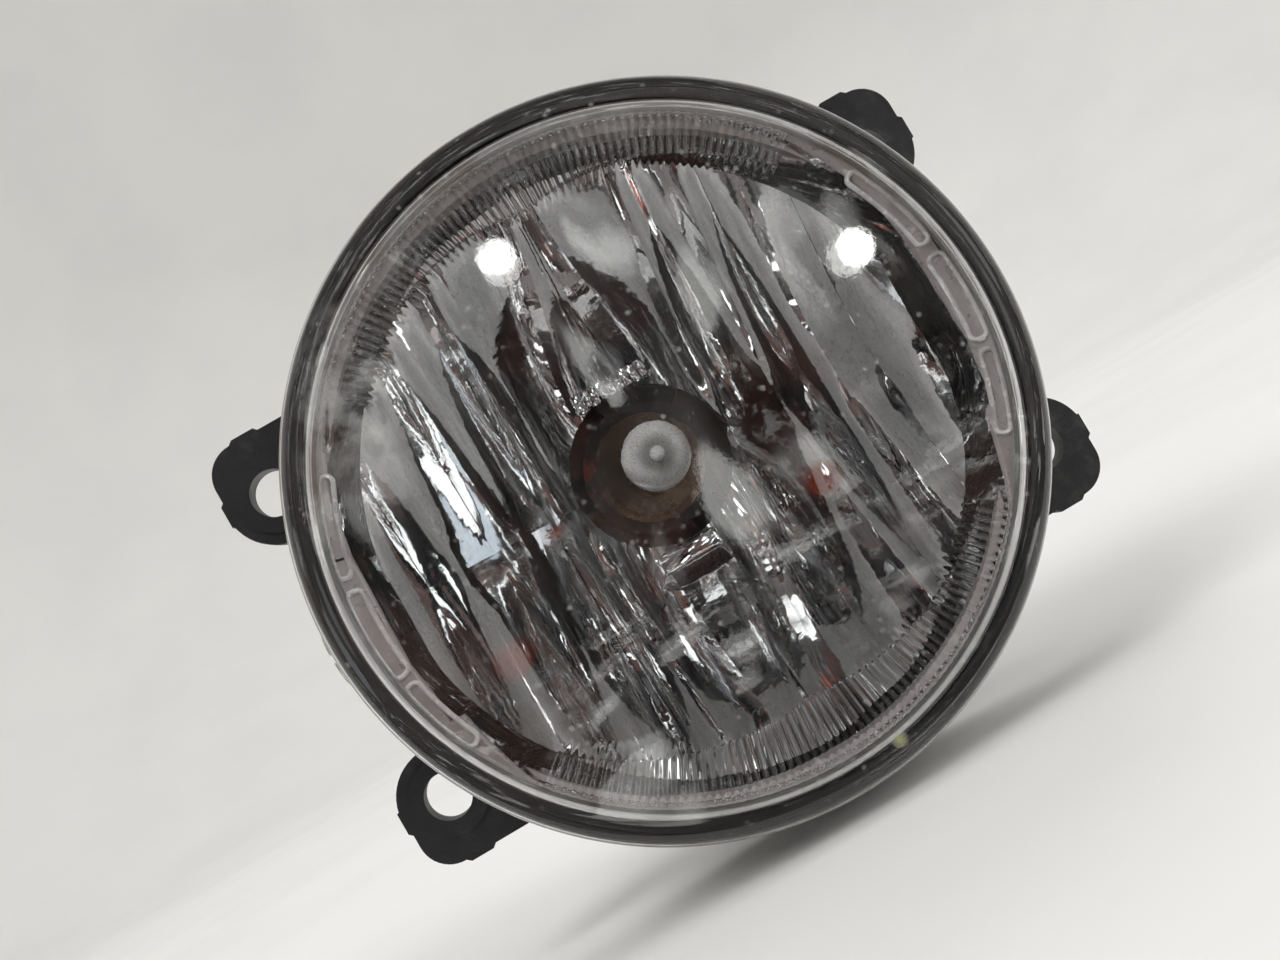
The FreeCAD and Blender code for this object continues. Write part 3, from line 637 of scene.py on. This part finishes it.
def side_wall(rim):
    """Wall from the rim of the bowl forward to the flange, and the flange with its turned edge."""
    points, wall, flange, rings = [], [], [], []
    for x, y, z in rim:
        angle = math.atan2(z, x)
        inner = flange_radius(math.degrees(angle))
        c, s = math.cos(angle), math.sin(angle)
        ring = [(x, y, z)]
        for part in WALL_PARTS:
            ring.append((lerp(x, inner * c, part), lerp(y, FLANGE_Y + 0.5, part), lerp(z, inner * s, part)))
        for radius, depth in ((inner + 0.2, FLANGE_Y + 0.15), (inner + 0.5, FLANGE_Y),
                              (FLANGE_OUT - 0.06, FLANGE_Y), (FLANGE_OUT, FLANGE_Y + 0.1),
                              (FLANGE_OUT, -21.2), (FLANGE_OUT - 0.6, -21.1), (SKIRT, -20.5), (SKIRT, -12.0)):
            ring.append((radius * c, depth, radius * s))
        rings.append(range(len(points), len(points) + len(ring)))
        points += ring
    for low, high in zip(rings, rings[1:] + rings[:1]):
        for k in range(len(low) - 1):
            sheet = wall if k < len(WALL_PARTS) else flange
            sheet.append([low[k], high[k], high[k + 1], low[k + 1]])
    return (points, wall), (points, flange)


def back_shell():
    """Back of the bowl, from the skirt to just outside the bulb opening."""
    profile = [(SKIRT, -12.0)]
    for i in range(13):
        radius = lerp(39.6, 12.6, i / 12)
        profile.append((radius, bowl(radius, OPTICAL_Z) + SHELL))
    return skin([circle(radius, y, 128, OPTICAL_Z) for radius, y in profile])


def pocket(start, end, inner):
    """Raised outline of a rounded pocket on the flange, between two angles."""
    corner = 0.8
    middle = (inner + POCKET_OUT) / 2
    half_len, half_wide = math.radians(end - start) / 2 * middle, (POCKET_OUT - inner) / 2
    centre = math.radians((start + end) / 2)
    path = []
    for quarter in range(4):
        cx = (half_len - corner) * (1 if quarter in (0, 3) else -1)
        cy = (half_wide - corner) * (1 if quarter in (0, 1) else -1)
        path += arc((cx, cy), corner, 90 * quarter, 90 * (quarter + 1), 5)
    loop = []
    for (ax, ay), (bx, by) in zip(path, path[1:] + path[:1]):
        steps = max(1, round(math.hypot(bx - ax, by - ay) / 0.6))
        for i in range(steps):
            angle = centre + lerp(ax, bx, i / steps) / middle
            radius = middle + lerp(ay, by, i / steps)
            loop.append((radius * math.cos(angle), FLANGE_Y, radius * math.sin(angle)))
    return tube(loop, 0.34, closed=True)


def build_reflector():
    """Faceted mirror, its satin flange, skirt and back, and the pockets' bright outlines."""
    upper, upper_rim = half_bowl(UPPER, True)
    lower, lower_rim = half_bowl(LOWER, False)
    wall, flange = side_wall(upper_rim[::-1] + lower_rim)
    outlines = []
    for start, end, inner in POCKETS:
        outlines += [pocket(start, end, inner), pocket(180 - end, 180 - start, inner)]
    mirror = merged(upper, lower, wall)
    satin = merged(mirror, flange, back_shell())
    reflector = piece("reflector_facets", merged(satin, *outlines), "lamp_unit", "reflector_mirror", 9)
    reflector.data.materials.append(satin_look().material)
    reflector.data.materials.append(edge_look().material)
    for face in reflector.data.polygons:
        face.material_index = (face.index >= len(mirror[1])) + (face.index >= len(satin[1]))
    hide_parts("reflector")


def rounded_block(low, high, edge, lean):
    """Block with bevelled edges in front, whose front face leans forward at its lower side."""
    (x0, y0, z0), (x1, y1, z1) = low, high
    rings = []
    for inset, y in ((0.0, y1), (0.0, y0 + edge), (edge * 0.3, y0 + edge * 0.3), (edge, y0)):
        ring = []
        for cx, cz, start in ((x1, z1, 0), (x0, z1, 1), (x0, z0, 2), (x1, z0, 3)):
            sx, sz = (1 if cx == x1 else -1), (1 if cz == z1 else -1)
            middle = (cx - sx * (edge + inset), cz - sz * (edge + inset))
            for px, pz in arc(middle, edge, 90 * start, 90 * (start + 1), 3):
                ring.append((px, y - lean * (z1 - pz) * (y < y1), pz))
        rings.append(ring)
    points, faces = skin(rings)
    count = len(rings[0])
    faces.append([3 * count + k for k in range(count)])
    faces.append([k for k in range(count)][::-1])
    return points, faces


def build_ledges():
    """Small ledge under the opening and the crinkled one at the foot of the upper facet."""
    blocks = [rounded_block((-6.4, 6.6, -12.9), (3.0, 13.0, -10.0), 0.45, 0.10)]
    for k in range(9):
        x = -5.2 + k * 1.25
        rise = 0.5 * math.sin(k * 2.4)
        low, high = (x, 8.2 + 0.3 * rise, 12.4 + 0.25 * rise), (x + 1.15, 12.5, 14.1 + 0.4 * rise)
        blocks.append(rounded_block(low, high, 0.25, 0.2 * math.cos(k * 1.9)))
    piece("reflector_ledges", merged(*blocks), "lamp_unit", "reflector_mirror", 25)


build_reflector()
build_ledges()


# ---------------------------------------------------------------- bulb

BULB_RADIUS = 4.4
TIP_Y, TIP = -8.6, 3.4                      # where the tube starts to round, and the tip's length
BULB_BACK_Y = 14.4
COAT = 0.06                                 # the coat stands this far off the glass
COIL_RADIUS, COIL_TURNS, COIL_STEPS = 0.62, 9, 24


def build_bulb():
    """Glass tube, the coat over its tip, and the coiled filament."""
    outside = [(BULB_RADIUS, BULB_BACK_Y), (BULB_RADIUS, TIP_Y)]
    for degrees in (12, 24, 36, 48, 58, 68, 76):
        a = math.radians(degrees)
        outside.append((BULB_RADIUS * math.cos(a), TIP_Y - TIP * math.sin(a)))
    nub = [(0.9, -12.1), (0.72, -12.45), (0.4, -12.64), (0.0, -12.7)]
    inside = [(0.0, -11.2), (1.4, -11.0), (2.6, -10.3), (3.3, -9.4), (3.6, -8.2), (3.6, 12.6), (0.0, 13.2)]
    profile = outside + nub + inside + [(0.0, BULB_BACK_Y)]
    glass = piece("bulb_tube", lathe(profile, 96, OPTICAL_Z), "bulb", "bulb_glass", 35)
    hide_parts("bulb_glass")
    coat = [(BULB_RADIUS + COAT, -5.6)] + [(radius + COAT, y) for radius, y in outside[1:]]
    coat += [(0.96, -12.16), (0.78, -12.5), (0.42, -12.68), (0.0, -12.74)]
    under = [(max(0.0, radius - 0.04), y + 0.03) for radius, y in coat[::-1]]
    piece("bulb_tip_coat", lathe(coat + under, 96, OPTICAL_Z), "bulb", "bulb_glass", 40, tip_look())
    coil = []
    for i in range(COIL_TURNS * COIL_STEPS + 1):
        a = 2 * math.pi * i / COIL_STEPS
        y = lerp(-4.3, 0.3, i / (COIL_TURNS * COIL_STEPS))
        coil.append((COIL_RADIUS * math.cos(a), y, OPTICAL_Z + COIL_RADIUS * math.sin(a)))
    wire = piece("filament_coil", tube(coil, 0.13), "bulb", "filament_metal", 50)
    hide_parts("bulb_filament")


build_bulb()


# ---------------------------------------------------------------- stage

FLOOR_Z = cad_low.z - 0.0012
CAMERA = Vector((-0.014717, -0.225951, -0.007761))
CAMERA_TARGET = Vector((-0.004337, -0.027744, -0.000816))
CAMERA_ROLL = 30.3                          # degrees
ROOM_RADIUS = 320.0                         # mm
# name, place, size and power of the soft lights, which all point at the lamp
LIGHTS = (("key", (-0.5, -0.7, 0.95), 0.7, 7.5),
          ("fill", (0.8, -0.5, 0.6), 0.7, 4.0),
          ("rear", (0.2, 0.9, 0.9), 0.8, 4.5))


def stage_mesh(name, shape, look):
    """A mesh of the stage, in metres."""
    points, faces = shape
    mesh = bpy.data.meshes.new(name)
    mesh.from_pydata(points, [], faces)
    obj = bpy.data.objects.new(name, mesh)
    bpy.context.scene.collection.objects.link(obj)
    mesh.shade_smooth()
    mesh.materials.append(look.material)
    return obj


def build_floor():
    """Pale round floor that sweeps up into a wall all round."""
    look = Look("floor_pale", (0.80, 0.79, 0.765), 0.6, Specular_IOR_Level=0.0)
    look.colour(look.blend(look.ramp(look.noise(9, 4), 0.3, 0.75), (0.80, 0.79, 0.765), (0.76, 0.75, 0.73)))
    look.bump(look.noise(300, 3), 0.00002)
    profile = [(0.0001, 0.0), (0.3, 0.0), (0.7, 0.0)] + arc((0.95, 0.5), 0.5, -90, 0, 10)
    profile += [(1.45, 1.0), (1.45, 1.8)]
    rings = []
    for radius, height in profile:
        rings.append([(radius * math.cos(a), radius * math.sin(a), FLOOR_Z + height) for a in turn(96)])
    stage_mesh("floor", skin(rings), look)


# patches of the room seen in the mirror: azimuth, elevation, size and soft edge in mm, glow
ROOM = (
    (-36, 5, 30, 3, (1.0, 1.03, 1.06)),
    (-60, 0, 44, 4, (1.3, 1.4, 1.5)),
    (-20, 13, 13, 2, (1.1, 1.1, 1.08)),
    (24, 15, 15, 2, (1.2, 1.2, 1.18)),
    (42, -2, 32, 3, (1.1, 1.1, 1.05)),
    (63, 6, 44, 4, (1.4, 1.4, 1.4)),
    (3, 12, 9, 2, (0.65, 0.65, 0.65)),
    (8, -15, 12, 2, (0.85, 0.87, 0.76)),
    (-9, -16, 12, 2, (0.80, 0.80, 0.76)),
    (-22, -6, 12, 2, (0.20, 0.095, 0.075)),
    (19, 3, 13, 2, (0.20, 0.095, 0.075)),
    (-18, -7, 9, 1.5, (0.80, 0.09, 0.018)),
    (15, -7, 9, 1.5, (0.80, 0.09, 0.018)),
    (26, -12, 8, 1.5, (0.85, 0.10, 0.020)),
    (-9, 1, 3.5, 1, (0.95, 0.11, 0.022)),
)


def toward(azimuth, elevation):
    """Point in mm on the room's dome; azimuth 0 is straight ahead of the lens, positive to the right."""
    a, e = math.radians(azimuth), math.radians(elevation)
    return Vector((math.sin(a) * math.cos(e), -math.cos(a) * math.cos(e), math.sin(e))) * ROOM_RADIUS


def room_look():
    """Glow of a dim room with fine bright streaks, warm patches, soft panels and two lamps."""
    look = Look("room_glow", (0, 0, 0), 1.0)
    tall = (1.0, 1.0, 0.4)
    shade = look.ramp(look.noise(19, 2, 0.5, tall), 0.44, 0.60)
    shade = look.blend(shade, (0.006, 0.006, 0.007), (0.15, 0.147, 0.14))
    glints = look.ramp(look.noise(38, 1, 0.5, tall), 0.60, 0.66)
    shade = look.blend(glints, shade, (2.6, 2.6, 2.5))
    warm = look.ramp(look.noise(16, 2, 0.5, (1.0, 1.0, 0.7), 0.4), 0.53, 0.57)
    shade = look.blend(look.maths("MULTIPLY", warm, 0.8), shade, (0.17, 0.085, 0.068))
    for azimuth, elevation, size, edge, tint in ROOM:
        shade = look.blend(look.spot(toward(azimuth, elevation), size, edge), shade, tint)
    bright = look.spot(toward(28.0, 9.3), 8, 3)
    dimmer = look.maths("MULTIPLY", look.spot(toward(-0.8, 25.2), 8, 3), 0.55)
    glow = look.tree.nodes.new("ShaderNodeEmission")
    look.set(glow, "Color", look.blend(look.maths("MAXIMUM", bright, dimmer), shade, (60.0, 60.0, 58.0)))
    look.set(glow, "Strength", 1.0)
    look.set(look.out, "Surface", glow.outputs[0])
    return look


def build_room():
    """Dome in front of the lamp that only reflections and refractions see; it stops at the floor."""
    radius, rows = ROOM_RADIUS * MM, 36
    rings = []
    for i in range(rows + 1):
        tilt = math.radians(lerp(0, 84, i / rows))
        wide, y = radius * math.sin(tilt), -radius * math.cos(tilt)
        rings.append([(wide * math.cos(a), y, max(wide * math.sin(a), FLOOR_Z + 0.0006)) for a in turn(72)])
    room = stage_mesh("room", skin(rings), room_look())
    room.visible_camera = False
    room.visible_diffuse = False
    room.visible_shadow = False
    room.visible_volume_scatter = False


def soft_light(name, place, size, power):
    """Round area light that points at the lamp and doesn't show in reflections."""
    data = bpy.data.lights.new(name, "AREA")
    data.shape = "DISK"
    data.size = size
    data.energy = power
    obj = bpy.data.objects.new(name, data)
    bpy.context.scene.collection.objects.link(obj)
    obj.location = place
    obj.rotation_mode = "QUATERNION"
    obj.rotation_quaternion = (-Vector(place)).to_track_quat("-Z", "Y")
    obj.visible_glossy = False
    obj.visible_transmission = False


def build_world():
    """Even pale light from all round, which doesn't show in reflections."""
    world = bpy.data.worlds.new("soft_room")
    bpy.context.scene.world = world
    world.use_nodes = True
    back = world.node_tree.nodes["Background"]
    back.inputs["Color"].default_value = (0.95, 0.96, 1.0, 1)
    back.inputs["Strength"].default_value = 0.50
    world.cycles_visibility.glossy = False
    world.cycles_visibility.transmission = False
    bpy.context.scene.view_settings.view_transform = "Standard"


def build_camera():
    """Camera at the photograph's place, rolled as the photograph is."""
    data = bpy.data.cameras.new("camera")
    data.lens = 48
    data.sensor_width = 36
    data.clip_start = 0.01
    data.clip_end = 20
    camera = bpy.data.objects.new("camera", data)
    bpy.context.scene.collection.objects.link(camera)
    camera.location = CAMERA
    forward = (CAMERA_TARGET - CAMERA).normalized()
    level = forward.cross(Vector((0, 0, 1))).normalized()
    roll = math.radians(CAMERA_ROLL)
    up = level.cross(forward) * math.cos(roll) + level * math.sin(roll)
    camera.rotation_mode = "QUATERNION"
    camera.rotation_quaternion = Matrix((forward.cross(up), up, -forward)).transposed().to_quaternion()
    bpy.context.scene.camera = camera


build_floor()
build_room()
build_world()
for light in LIGHTS:
    soft_light(*light)
build_camera()
